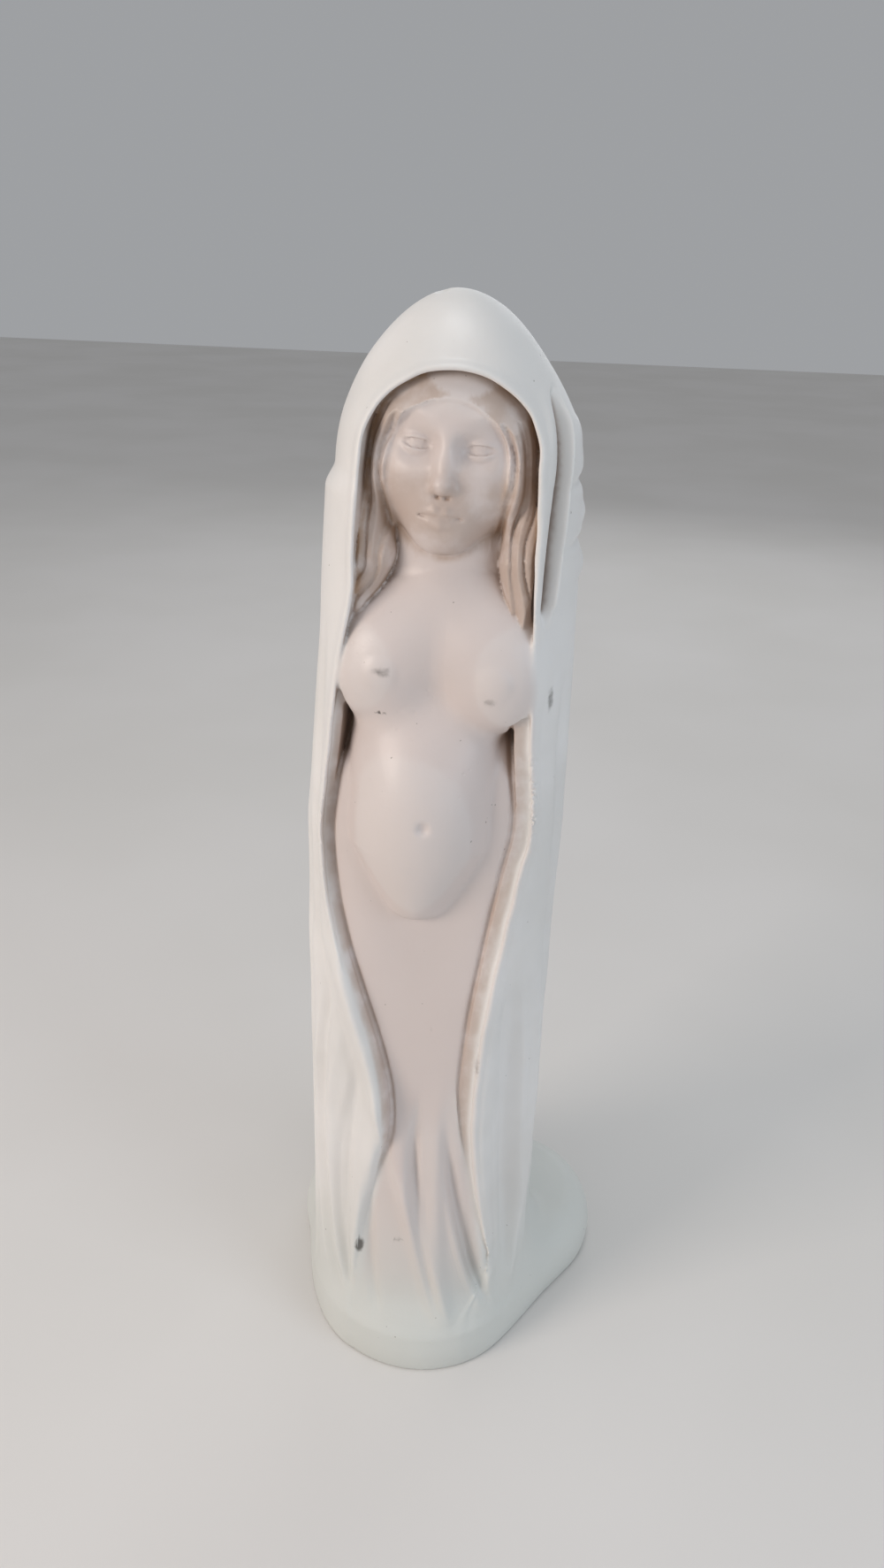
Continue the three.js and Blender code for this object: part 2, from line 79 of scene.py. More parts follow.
# The cloak's folds: degrees from the front at the head, middle and foot of each, + to the viewer's
# right; top and bottom heights; half-width; depth, where a fold below zero stands out as a ridge
FRONT_FOLDS = [
    (-40, -52, -35, 66, 8, 1.2, 0.8),
    (-32, -44, -33, 56, 9, 1.2, -0.6),
    (-22, -33, -29, 52, 8, 1.0, 0.7),
    (-12, -22, -29, 46, 7, 1.0, -0.5),
    (-14, -20, -14, 42, 9, 0.9, 0.6),
    (-15, -1, 20, 52, 8, 1.4, -2.1),
    (6, 4, 19, 46, 9, 0.8, 1.5),
    (17, 14, 21, 50, 9, 1.1, -0.6),
    (18, 25, 41, 42, 10, 0.9, 1.2),
    (18, 24, 39, 36, 9, 0.7, -0.5),
    (47, 51, 57, 66, 13, 1.8, 1.6),
    (64, 69, 57, 66, 9, 1.6, -0.8),
    (34, 38, 46, 40, 7, 1.2, -0.5),
    (-60, -57, -47, 106, 50, 1.0, 0.5),
    (72, 78, 84, 104, 10, 1.4, 0.7),
    (98, 95, 93, 116, 9, 1.8, 1.0),
    (-79, -79, -75, 108, 8, 1.5, 0.8),
    (-66, -66, -62, 84, 8, 1.1, 0.6),
    (-96, -96, -93, 112, 9, 1.8, 1.0),
]
FINE_FOLDS = [
    (-47, -58, -44, 60, 10, 0.7, -0.35),
    (-27, -38, -31, 46, 12, 0.6, 0.3),
    (8, 10, 16, 34, 10, 0.6, 0.3),
    (29, 33, 44, 30, 9, 0.6, 0.4),
    (42, 44, 50, 50, 12, 0.8, 0.3),
    (56, 61, 60, 60, 10, 0.8, -0.35),
]
BACK_FOLD_COUNT = 5
BACK_FOLDS_START = 120.0
BACK_FOLD_PITCH = 30.0

# The train that the cloak spreads into: a rounded triangle with a pebble-like edge
TRAIN_CORNERS = [(0.3, -4.7), (10.2, 10.8), (-6.3, 10.0)]
TRAIN_ROUNDING, TRAIN_THICKNESS, TRAIN_WIDEST = 14.4, 8.6, 2.8
TRAIN_EDGE, TRAIN_UNDERCUT = 4.4, 0.7
TRAIN_FILLET, TRAIN_FILLET_BEHIND = 3.0, 10.0
HEM_HEIGHT = 6.0

# The belly comes down to a blunt point
BELLY_LOW, BELLY_TAPER, BELLY_POINT = 69.5, 9.5, 0.62

# The head's place and tilt, and its hair
HEAD_AT = (1.3, -1.1, 125.1)
HEAD_TILT = math.radians(4.0)
HEAD_SIZE = 1.1
HOOD_THICKNESS = 1.2
HAIRLINE_ROUND, HAIRLINE_POINT, HAIRLINE_FROM, HAIRLINE_FLAT = 6.95, 0.6, -1.0, 1.13
LOCK_PITCH, LOCK_RELIEF = 1.35, 0.42
STRAND_PITCH, STRAND_RELIEF = 0.5, 0.09
FAR = 50.0


def ramp(low, high, v):
    """From 0 at low to 1 at high, smoothly."""
    t = np.clip((v - low) / (high - low), 0.0, 1.0)
    return t * t * (3.0 - 2.0 * t)


def bump(v):
    return np.exp(-v * v)


def melt(a, b, size):
    """Joins two masses with a fillet of about that size."""
    h = np.clip(0.5 + 0.5 * (b - a) / size, 0.0, 1.0)
    return b + (a - b) * h - size * h * (1.0 - h)


def cut(a, tool, size):
    return -melt(-a, tool, size)


def along(stations, v):
    """A smooth curve through a few stations (place, value)."""
    s = np.array([p[0] for p in stations], float)
    w = np.array([p[1] for p in stations], float)
    m = np.empty_like(w)
    m[1:-1] = (w[2:] - w[:-2]) / (s[2:] - s[:-2])
    m[0], m[-1] = (w[1] - w[0]) / (s[1] - s[0]), (w[-1] - w[-2]) / (s[-1] - s[-2])
    v = np.clip(v, s[0], s[-1])
    i = np.clip(np.searchsorted(s, v, side="right") - 1, 0, len(s) - 2)
    h = s[i + 1] - s[i]
    t = (v - s[i]) / h
    keep = 2 * t**3 - 3 * t**2 + 1
    return keep * w[i] + (1 - keep) * w[i + 1] + (t**3 - 2 * t**2 + t) * h * m[i] + (t**3 - t**2) * h * m[i + 1]


def ellipsoid(x, y, z, centre, radii):
    px, py, pz = (x - centre[0]) / radii[0], (y - centre[1]) / radii[1], (z - centre[2]) / radii[2]
    reach = np.sqrt(px * px + py * py + pz * pz)
    steep = np.sqrt((px / radii[0])**2 + (py / radii[1])**2 + (pz / radii[2])**2) + 1e-9
    return reach * (reach - 1.0) / steep


def rod(x, y, z, start, end, start_radius, end_radius):
    """A round-ended rod whose radius goes from one value to the other."""
    dx, dy, dz = end[0] - start[0], end[1] - start[1], end[2] - start[2]
    qx, qy, qz = x - start[0], y - start[1], z - start[2]
    t = np.clip((qx * dx + qy * dy + qz * dz) / (dx * dx + dy * dy + dz * dz), 0.0, 1.0)
    away = np.sqrt((qx - t * dx)**2 + (qy - t * dy)**2 + (qz - t * dz)**2)
    return away - (start_radius + (end_radius - start_radius) * t)


def chain(x, y, z, stations):
    """Rods through stations (place, radius), as a rolled string of clay."""
    d = FAR
    for (start, start_radius), (end, end_radius) in zip(stations, stations[1:]):
        d = np.minimum(d, rod(x, y, z, start, end, start_radius, end_radius))
    return d


def ripple(x, y, z, size):
    """An uneven hand-worked swell between about -1 and 1, of about that size."""
    a, b, c = x / size, y / size, z / size
    swell = np.sin(1.7 * a + 1.3 * np.sin(0.9 * c + 0.5 * b)) + np.sin(1.1 * c - 0.8 * b + 1.9 * np.sin(0.7 * a))
    return 0.4 * (swell + 0.5 * np.sin(2.3 * b + 1.6 * c + 2.0 * np.sin(1.3 * a)))


# The cloak
def axis_shift(z):
    return -0.6 + 1.4 * ramp(60.0, 120.0, z)


def cloak_square(z):
    skirt = CLOAK_HALF_WIDTH - SHOULDER_TAPER * np.maximum(z - TAPER_STARTS, 0.0)
    return melt(HOOD_FULLNESS * (HEIGHT - z), skirt * skirt, HOOD_BLEND)


def way_round(start, end):
    """The shorter way round from one angle to another, in degrees."""
    return end - start - 360.0 * np.round((end - start) / 360.0)


def back_folds():
    folds = []
    for i in range(BACK_FOLD_COUNT):
        foot, crest, odd = BACK_FOLDS_START + BACK_FOLD_PITCH * i, BACK_FOLDS_START + BACK_FOLD_PITCH * (i + 0.5), i % 2
        folds.append((foot - 4 - i, foot + 5 - 10 * odd, foot, 126 - 9 * odd, 6, 2.3, 1.4))
        folds.append((crest - 8, crest - 5 + 10 * odd, crest, 112 + 8 * odd, 6, 1.6, -0.6))
    return folds


FOLDS = FRONT_FOLDS + FINE_FOLDS + back_folds()


def fold_depth(angle, z, radius):
    """How far the folds sink the face of the cloak."""
    depth = np.zeros_like(angle)
    for head, middle, foot, top, bottom, width, deep in FOLDS:
        near = (z < top + 2) & (z > bottom - 3)
        a, h, r = angle[near], z[near], radius[near]
        t = np.clip((top - h) / (top - bottom), -0.3, 1.3)
        centre = head * (1 - t) * (1 - 2 * t) + 4 * middle * t * (1 - t) + foot * t * (2 * t - 1)
        arc = np.radians(way_round(centre, a)) * r
        fade = ramp(bottom - 3.0, bottom + 5.0, h) * (1.0 - ramp(top - 14.0, top + 2.0, h))
        depth[near] += deep * fade * bump(arc / width)
    return depth


def hood_fold_depth(angle, z, radius):
    """A second fold runs down the hood beside its edge, under an outer flap."""
    t = np.clip((130.8 - z) / 22.0, 0.0, 1.0)
    arc = np.radians(way_round(72.0 - 21.5 * t**0.45, angle)) * radius
    fade = ramp(106.0, 110.0, z) * (1.0 - ramp(127.5, 131.5, z))
    flap, roll = 1.0 * bump((arc - 1.0) / 0.6), 0.45 * bump((arc + 2.0) / 0.8)
    temple = 1.3 * ramp(119.4, 122.4, z) * (1 - ramp(122.5, 134.0, z)) * bump(way_round(-95.0, angle) / 45.0)
    return fade * (1.9 * bump(arc / 0.42) - flap - roll) + temple


def edge_swell(x, z):
    """The cloak swells beside its edges, in a soft roll on the left and a low band on the right."""
    low = np.minimum(z, ARCH_SPRING)
    from_left, from_right = x - along(LEFT_EDGE, low), x - along(RIGHT_EDGE, low)
    roll = 0.8 * bump((from_left + 1.0) / 1.3) * ramp(14.0, 34.0, z) * (1 - ramp(56.0, 72.0, z))
    furrow = 0.35 * bump((from_left + 3.2) / 1.1) * ramp(30.0, 42.0, z) * (1 - ramp(60.0, 74.0, z))
    band = 0.45 * bump(from_right - 1.1) * ramp(8.0, 16.0, z) * (1 - ramp(70.0, 86.0, z))
    return roll - furrow + band


def cloak_face(x, y, z):
    """The cloak's outer face, with its turn from the front and how far its folds sink it."""
    share = CLOAK_DEPTH_SHARE + 0.13 * (1 - ramp(6.0, 30.0, z)) * (1 - ramp(-6.0, 4.0, y))
    across = x - axis_shift(z)
    through = (y - along(BACK_PROFILE, z) * ramp(-4.0, 8.0, y)) / share
    square = cloak_square(z)
    radius = np.sqrt(np.maximum(square, 1.0))
    angle = np.degrees(np.arctan2(across, -through))
    creases = fold_depth(angle, z, radius)
    slope = cloak_square(z + 0.5) - cloak_square(z - 0.5)
    steep = np.sqrt(4 * (across**2 + (through / share)**2) + slope**2)
    plain = (across**2 + through**2 - square) / np.maximum(steep, 4.0)
    face = plain + creases - np.where(y < 0, edge_swell(x, z), 0.0) + hood_fold_depth(angle, z, radius)
    knobs = np.minimum(ellipsoid(x, y, z, (14.0, 0.5, 117.4), (1.6, 2.8, 1.9)),
                       ellipsoid(x, y, z, (14.3, 0.5, 111.6), (1.6, 2.8, 2.2)))
    knobs = np.minimum(knobs, ellipsoid(x, y, z, (12.8, -0.5, 125.0), (2.0, 3.0, 3.3)))
    notches = 0.55 * (bump((z - 121.0) / 0.8) + bump((z - 114.6) / 0.6)) * bump(way_round(92.0, angle) / 22.0)
    face = melt(face + notches, knobs, 0.3)
    face = cut(face, ellipsoid(x, y, z, (-1.1, -0.8, 140.2), (0.8, 1.6, 0.75)), 0.3)
    return face + 0.06 * ripple(x, y, z, 2.6), angle, creases


def opening_at(x, z):
    """Below zero in front of the opening, and zero at its edge."""
    low = np.minimum(z, ARCH_SPRING)
    left, right = along(LEFT_EDGE, low), along(RIGHT_EDGE, low)
    half = 0.5 * (right - left)
    up = np.maximum(z - ARCH_SPRING, 0.0) / ARCH_RISE
    return (np.sqrt(((x - left - half) / half)**2 + up * up) - 1.0) * half


def cloak(x, y, z, face):
    """The cloak with its recess, and the foot of the recess's wall."""
    uneven = 0.07 * ripple(x, y, z, 1.3) * ramp(-1.5, -0.2, face)
    open_ = opening_at(x, z) + uneven * ramp(20.0, 40.0, z)
    on_left = 1.0 - ramp(0.0, 3.0, x)
    leans = []
    for legs, body, hood in WALL_LEANS:
        lean = legs + (body - legs) * ramp(56.0, 72.0, z)
        leans.append(lean + (hood - lean) * ramp(95.0, 106.0, z))
    lean = leans[1] + (leans[0] - leans[1]) * on_left
    wall = open_ + lean * np.minimum(-face, EDGE_THICKNESS) + INNER_SLOPE * np.maximum(-face - EDGE_THICKNESS, 0.0)
    floor_ = melt(-face - along(RECESS_DEPTH, z), y + along(RECESS_LEVEL, z), 2.5)
    recess = np.maximum(np.maximum(wall, floor_), y + 1.0)
    soft = (1.0 - ramp(54.0, 70.0, z)) * on_left
    fading = 1.0 - ramp(14.0, 30.0, z)
    opened = cut(face, recess, EDGE_FILLET + 0.5 * soft + 1.2 * fading)
    right = (1 - on_left) * ramp(80.0, 83.0, z) * (1 - ramp(90.0, 93.0, z))
    chips = 0.25 * ramp(0.2, 0.9, np.abs(ripple(z, z, x, 0.35))) * right
    bead = np.hypot(open_, face + 0.1) - EDGE_BEAD * (1.0 - fading) * (1.0 - soft) + chips + 0.6 * soft
    return melt(opened, np.maximum(bead, y), 0.4), wall


def train(x, y, z):
    outside, inside = FAR, -FAR
    for (ax, ay), (bx, by) in zip(TRAIN_CORNERS, TRAIN_CORNERS[1:] + TRAIN_CORNERS[:1]):
        ex, ey = bx - ax, by - ay
        t = np.clip(((x - ax) * ex + (y - ay) * ey) / (ex * ex + ey * ey), 0.0, 1.0)
        outside = np.minimum(outside, np.hypot(x - ax - t * ex, y - ay - t * ey))
        inside = np.maximum(inside, ((x - ax) * ey - (y - ay) * ex) / math.hypot(ex, ey))
    reach = np.where(inside < 0, inside, outside) - TRAIN_ROUNDING + TRAIN_EDGE
    above = (z - TRAIN_WIDEST) * TRAIN_EDGE / (TRAIN_THICKNESS - TRAIN_WIDEST)
    below = (TRAIN_WIDEST - z) * TRAIN_UNDERCUT
    return np.hypot(np.maximum(reach, 0.0), np.where(z > TRAIN_WIDEST, above, below)) - TRAIN_EDGE


def figure(x, y, z):
    """The bare figure inside the cloak, without its head."""
    side = np.abs(x + 0.5)
    body = melt(ellipsoid(x, y, z, (1.2, -1.6, 102.5), (13.0, 8.8, 9.5)),
                ellipsoid(x, y, z, (1.3, -2.4, 106.5), (12.5, 6.6, 6.6)), 2.0)
    neck = rod(x, y, z, (1.3, -3.2, 107.0), (1.4, -1.8, 118.0), 5.2, 4.6)
    body = melt(body, neck, 3.4)
    ribs = ellipsoid(np.maximum(side - 3.7, 0.0), y, z, (0.0, -1.4, 90.0), (6.1, 9.2, 13.0))
    body = melt(body, ribs, 2.0)
    breasts = melt(ellipsoid(x, y, z, (-5.4, -7.0, 99.9), (6.2, 5.2, 6.7)),
                   ellipsoid(x, y, z, (7.3, -7.0, 99.9), (6.2, 5.2, 6.7)), 1.6)
    body = melt(body, breasts, 1.6 + 3.6 * ramp(97.0, 106.0, z))
    tips = np.minimum(ellipsoid(x, y, z, (-5.4, -11.6, 100.7), (0.8, 0.3, 0.8)),
                      ellipsoid(x, y, z, (7.6, -11.6, 100.6), (0.8, 0.3, 0.8)))
    body = melt(body, tips, 1.5)
    narrowing = BELLY_POINT + (1.0 - BELLY_POINT) * np.clip((z - BELLY_LOW) / BELLY_TAPER, 0.0, 1.0)
    belly = ellipsoid((x + 0.75) / narrowing, y, z, (0.0, -3.9, 80.9), (9.8, 11.5, 17.5))
    belly = cut(belly, z - BELLY_LOW, 1.6)
    body = melt(body, belly, 1.2 + 2.3 * ramp(80.0, 88.0, z))
    thighs = melt(rod(x, y, z, (-5.8, -1.6, 74.0), (-3.0, -5.3, 38.0), 8.9, 7.2),
                  rod(x, y, z, (6.4, -1.6, 74.0), (4.3, -5.3, 38.0), 8.9, 7.2), 2.4)
    body = melt(body, thighs, 1.2)
    navel = ellipsoid(x, y, z, (0.5, -15.4, 83.6), (0.6, 0.7, 0.6))
    return cut(body, navel, 0.7) + 0.04 * ripple(x, y, z, 2.2)


def in_head(x, y, z):
    """Into the head's own frame: across, back and up from between the eyes, on the neck's axis."""
    dx, dz = x - HEAD_AT[0], z - HEAD_AT[2]
    across, up = dx * math.cos(HEAD_TILT) - dz * math.sin(HEAD_TILT), dx * math.sin(HEAD_TILT) + dz * math.cos(HEAD_TILT)
    return across / HEAD_SIZE, (y - HEAD_AT[1]) / HEAD_SIZE, up / HEAD_SIZE


def eye(side, back, up):
    """The eyeball, and the lids that lie over it round an almond-shaped gap."""
    middle, half = 2.95, 1.75
    ball = ellipsoid(side, back, up, (middle, -5.5, -0.05), (1.75, 1.7, 1.6))
    lids = ellipsoid(side, back, up, (middle, -5.5, -0.05), (2.1, 2.05, 1.95))
    share = np.clip((side - middle) / half, -1.2, 1.2)
    upper = 0.52 * (1 - share**2) + 0.1 * share
    lower = -0.45 * (1 - share**2) + 0.1 * share
    gap = np.maximum(up - upper, lower - up) * 0.8
    return np.minimum(ball, cut(lids, gap, 0.22))


def head(across, back, up):
    side = np.abs(across)
    face = melt(ellipsoid(across, back, up, (0, 0.3, 1.9), (7.4, 8.3, 9.3)),
                ellipsoid(across, back, up, (0, -1.2, -2.4), (7.2, 6.5, 6.8)), 3.0)
    face = melt(face, ellipsoid(across, back, up, (0, -2.2, -5.2), (6.3, 5.6, 5.3)), 2.6)
    face = melt(face, ellipsoid(across, back, up, (0, -5.7, -8.8), (2.3, 1.7, 1.6)), 2.4)
    face = melt(face, ellipsoid(side, back, up, (4.0, -5.0, -3.1), (2.4, 2.1, 2.5)), 2.2)
    muzzle = ellipsoid(across, back, up, (0, -6.4, -6.4), (2.8, 1.6, 2.4))
    face = melt(face, muzzle, 1.8)
    face = cut(face, ellipsoid(side, back, up, (2.95, -8.9, 0.0), (2.5, 2.1, 1.55)), 1.0)
    brow = chain(side, back, up, [((1.2, -7.2, 2.55), 0.15), ((2.8, -7.2, 3.0), 0.25), ((4.3, -6.6, 2.75), 0.2),
                                  ((5.3, -5.9, 2.1), 0.1)])
    face = melt(face, brow, 1.3)
    face = melt(face, eye(side, back, up), 0.2)
    face = melt(face, rod(across, back, up, (0, -7.1, 1.7), (0, -8.7, -3.1), 0.45, 0.6), 1.2)
    face = melt(face, ellipsoid(across, back, up, (0, -8.75, -3.4), (0.85, 0.8, 0.75)), 0.7)
    face = melt(face, ellipsoid(side, back, up, (0.95, -7.85, -3.8), (0.52, 0.85, 0.5)), 0.4)
    face = cut(face, ellipsoid(side, back, up, (0.46, -8.35, -4.5), (0.12, 0.2, 0.04)), 0.5)
    upper_lip = chain(side, back, up, [((0.0, -8.25, -6.0), 0.4), ((0.55, -8.3, -5.85), 0.45),
                                       ((1.2, -8.0, -6.05), 0.38), ((1.95, -7.4, -6.4), 0.2)])
    lower_lip = chain(side, back, up, [((0.0, -8.1, -7.1), 0.6), ((0.9, -7.9, -7.0), 0.52),
                                       ((1.75, -7.35, -6.6), 0.2)])
    face = melt(melt(face, upper_lip, 0.35), lower_lip, 0.35)
    mouth = chain(side, back, up, [((0.0, -8.9, -6.42), 0.1), ((1.1, -8.55, -6.38), 0.1), ((2.05, -7.85, -6.45), 0.05)])
    return cut(face, mouth, 0.4)


def from_hairline(side, up):
    """How far outside the pointed arch of the hairline a place is."""
    return np.hypot(side + HAIRLINE_POINT, HAIRLINE_FLAT * np.maximum(up - HAIRLINE_FROM, 0.0)) - HAIRLINE_ROUND


LEFT_LOCK = [((-7.4, -3.6, 127.0), 2.2), ((-8.3, -4.8, 119.5), 2.3), ((-7.3, -6.6, 113.0), 2.8), ((-8.6, -7.6, 108.0), 1.6)]
RIGHT_LOCK = [((9.9, -2.9, 126.5), 2.2), ((10.2, -4.3, 119.5), 2.2), ((9.4, -6.9, 113.0), 2.3), ((10.2, -7.8, 106.8), 1.5)]


def hair(x, y, z, across, back, up, skin):
    side = np.abs(across)
    outside = from_hairline(side, up)
    cap = cut(ellipsoid(across, back, up, (0, 0.2, 1.6), (8.8, 9.3, 10.9)), np.maximum(outside, back + 2.0), 0.9)
    edge = np.maximum(np.hypot(outside - 0.8, skin) - 0.85, back + 2.0)
    cap = melt(cap, edge, 0.8)
    locks = np.minimum(chain(x, y, z, LEFT_LOCK), chain(x, y, z, RIGHT_LOCK))
    mass = melt(cap * HEAD_SIZE, locks, 1.6)
    bend = np.where(across < 0, 1.9, 0.9) * (1 - ramp(106.0, 113.0, z)) - 0.6 * bump((z - 113.5) / 4.0)
    flow = outside - bend + 0.16 * np.sin(0.8 * up + across) + 0.2 * back
    broad = np.abs(np.sin(np.pi * flow / LOCK_PITCH))
    fine = np.abs(np.sin(np.pi * flow / STRAND_PITCH + 0.9))
    parting = 0.5 * bump(side / 0.3) * ramp(4.0, 6.0, up)
    return mass - LOCK_RELIEF * broad - STRAND_RELIEF * fine + 0.2 + parting


def clay(x, y, z):
    """The whole figurine as one field."""
    face, angle, creases = cloak_face(x, y, z)
    d, wall = cloak(x, y, z, face)
    body = np.full_like(d, FAR)
    near = (z > 24.0) & (z < 122.0) & (y < 4.0)
    body[near] = figure(x[near], y[near], z[near])
    d = melt(d, body, 0.5)
    d = d + 0.35 * bump((wall + 0.3) / 0.28) * (y < -2) * ramp(30.0, 42.0, z) * ramp(100.0, 96.0, z) * ramp(-0.4, -0.8, face)
    low = z < 26.0
    if low.any():
        turn, h = np.abs(angle[low]), z[low]
        ahead, behind = 1 - ramp(55.0, 80.0, turn), ramp(140.0, 158.0, turn)
        hem = 0.2 * bump((h - HEM_HEIGHT) / 0.9) * ahead
        foot = train(x[low], y[low], h) + creases[low] * (0.6 * ahead * ramp(4.0, 9.0, h) + 0.8 * behind) - hem
        fillet = TRAIN_FILLET + (TRAIN_FILLET_BEHIND - TRAIN_FILLET) * ramp(6.0, 14.0, y[low]) * behind
        d[low] = melt(d[low], foot, fillet)
    high = z > 103.0
    if high.any():
        px, py, pz = x[high], y[high], z[high]
        across, back, up = in_head(px, py, pz)
        skin = head(across, back, up)
        bust = melt(skin * HEAD_SIZE, hair(px, py, pz, across, back, up, skin), 1.1)
        d[high] = np.minimum(d[high], np.maximum(bust, face[high] + HOOD_THICKNESS))
    return d


# The mesh over the clay
WORKERS = 4
BATCH = 200000
GRID_FROM, GRID_TO = (-23.0, -21.0, -1.0), (27.5, 29.0, 141.5)
FINE_FROM, FINE_TO = (-8.5, -15.5, 104.0), (12.0, -4.5, 133.5)
FINE_STEP, PLAIN_STEP = 0.2, 0.3
COARSE_EVERY = 7
REACH = 2.2
MOST_TRIANGLES = 190000


def form(x, y, z):
    """The clay, cut off flat at the underside."""
    return np.maximum(clay(x, y, z), -z)


def in_batches(field, x, y, z):
    """Works out a field over many places, on all processors."""
    spans = [slice(i, i + BATCH) for i in range(0, len(x), BATCH)]
    with ThreadPoolExecutor(WORKERS) as pool:
        parts = list(pool.map(lambda s: field(x[s], y[s], z[s]), spans))
    return np.concatenate(parts)


def grid_lines(axis):
    """Places of the grid's planes across one axis, closer together at the face."""
    share = 1.0
    return np.concatenate([
        np.arange(GRID_FROM[axis], FINE_FROM[axis], PLAIN_STEP * share),
        np.arange(FINE_FROM[axis], FINE_TO[axis], FINE_STEP * share),
        np.arange(FINE_TO[axis], GRID_TO[axis], PLAIN_STEP * share),
    ])


def corners_of(values, size):
    """The values at the eight corners of each cell."""
    a, b, c = size
    return [values[i:a - 1 + i, j:b - 1 + j, k:c - 1 + k] for i in (0, 1) for j in (0, 1) for k in (0, 1)]


def values_near_face(xs, ys, zs):
    """The form's value at each crossing of the grid that is near its face, and its sign elsewhere."""
    size = (len(xs), len(ys), len(zs))
    coarse = [np.unique(np.r_[np.arange(0, n, COARSE_EVERY), n - 1]) for n in size]
    x, y, z = np.meshgrid(xs[coarse[0]], ys[coarse[1]], zs[coarse[2]], indexing="ij")
    rough = in_batches(form, x.ravel(), y.ravel(), z.ravel()).reshape(x.shape)
    corners = corners_of(rough, rough.shape)
    lowest, highest = np.minimum.reduce(corners), np.maximum.reduce(corners)
    block = np.ix_(*[np.minimum(np.arange(n) // COARSE_EVERY, len(c) - 2) for n, c in zip(size, coarse)])
    values = np.where(lowest > 0, FAR, -FAR).astype(np.float32)[block]
    near = np.flatnonzero(((lowest < REACH) & (highest > -REACH))[block])
    i, j, k = np.unravel_index(near, size)
    values.ravel()[near] = in_batches(form, xs[i], ys[j], zs[k])
    return values


def joined(values):
    """Fills the corners round grid faces where clay meets clay only at a point, so that the skin closes."""
    values = values.copy()
    for attempt in range(4):
        inside = values < 0
        for axis in range(3):
            u, w = [k for k in range(3) if k != axis]
            corners = []
            for du, dw in ((0, 0), (1, 0), (1, 1), (0, 1)):
                part = [slice(None)] * 3
                part[u] = slice(du, inside.shape[u] - 1 + du)
                part[w] = slice(dw, inside.shape[w] - 1 + dw)
                corners.append(inside[tuple(part)])
            crossing = (corners[0] == corners[2]) & (corners[1] == corners[3]) & (corners[0] != corners[1])
            spot = np.array(np.nonzero(crossing))
            for du, dw in ((0, 0), (1, 0), (1, 1), (0, 1)):
                corner = spot.copy()
                corner[u] += du
                corner[w] += dw
                corner = tuple(corner)
                values[corner] = np.minimum(values[corner], -0.02)
    return values


def surface_net(values, lines):
    """One vertex in each cell that the face crosses, and a quad round each grid edge that it crosses."""
    inside = values < 0
    count = sum(c.astype(np.int8) for c in corners_of(inside, inside.shape))
    cells = np.nonzero((count > 0) & (count < 8))
    number = np.full(count.shape, -1, np.int32)
    number[cells] = np.arange(len(cells[0]))
    total, crossings = np.zeros((len(cells[0]), 3)), np.zeros(len(cells[0]))
    for axis in range(3):
        for first in (0, 1):
            for second in (0, 1):
                low = [first, second]
                low.insert(axis, 0)
                high = list(low)
                high[axis] = 1
                a = values[tuple(c + o for c, o in zip(cells, low))].astype(float)
                b = values[tuple(c + o for c, o in zip(cells, high))].astype(float)
                crossed = (a < 0) != (b < 0)
                share = np.where(crossed, a / np.where(crossed, a - b, 1.0), 0.0)
                for k in range(3):
                    start, end = lines[k][cells[k] + low[k]], lines[k][cells[k] + high[k]]
                    total[:, k] += np.where(crossed, start + share * (end - start), 0.0)
                crossings += crossed
    quads = []
    for axis in range(3):
        u, w = [k for k in range(3) if k != axis]
        below, above = [slice(None)] * 3, [slice(None)] * 3
        below[axis], above[axis] = slice(0, -1), slice(1, None)
        crossed = inside[tuple(below)] != inside[tuple(above)]
        for k in (u, w):
            for border in (slice(0, 1), slice(inside.shape[k] - 1, None)):
                strip = [slice(None)] * 3
                strip[k] = border
                crossed[tuple(strip)] = False
        edge = np.array(np.nonzero(crossed))
        around = []
        for du, dw in ((0, 0), (1, 0), (1, 1), (0, 1)):
            cell = edge.copy()
            cell[u] -= du
            cell[w] -= dw
            around.append(number[tuple(cell)])
        quad = np.stack(around, 1)
        turned = inside[tuple(edge)] == (axis == 1)
        quad[turned] = quad[turned][:, ::-1]
        quads.append(quad)
    return total / crossings[:, None], np.vstack(quads)


def slope_at(points, step=0.06):
    """The direction in which the form's field rises fastest, and how fast."""
    rise = np.empty_like(points)
    for axis in range(3):
        ahead, behind = points.copy(), points.copy()
        ahead[:, axis] += step
        behind[:, axis] -= step
        rise[:, axis] = (in_batches(form, *ahead.T) - in_batches(form, *behind.T)) / (2 * step)
    return rise


def settle(points, most=0.12):
    """Moves points onto the face of the form."""
    rise = slope_at(points)
    move = -in_batches(form, *points.T) / np.maximum((rise**2).sum(1), 0.2)
    move = rise * move[:, None]
    length = np.sqrt((move**2).sum(1))
    return points + move * np.minimum(1.0, most / np.maximum(length, 1e-9))[:, None]


def read_places(mesh):
    places = np.empty(len(mesh.vertices) * 3)
    mesh.vertices.foreach_get("co", places)
    return places.reshape(-1, 3) / MM


def mesh_from(points, quads, name):
    mesh = bpy.data.meshes.new(name)
    mesh.vertices.add(len(points))
    mesh.vertices.foreach_set("co", (points * MM).ravel())
    mesh.loops.add(quads.size)
    mesh.loops.foreach_set("vertex_index", quads.ravel())
    mesh.polygons.add(len(quads))
    mesh.polygons.foreach_set("loop_start", np.arange(0, quads.size, 4))
    mesh.polygons.foreach_set("loop_total", np.full(len(quads), 4))
    mesh.update()
    mesh.validate()
    return mesh


def only(piece):
    """Selects one piece and nothing else."""
    bpy.ops.object.select_all(action="DESELECT")
    piece.select_set(True)
    bpy.context.view_layer.objects.active = piece


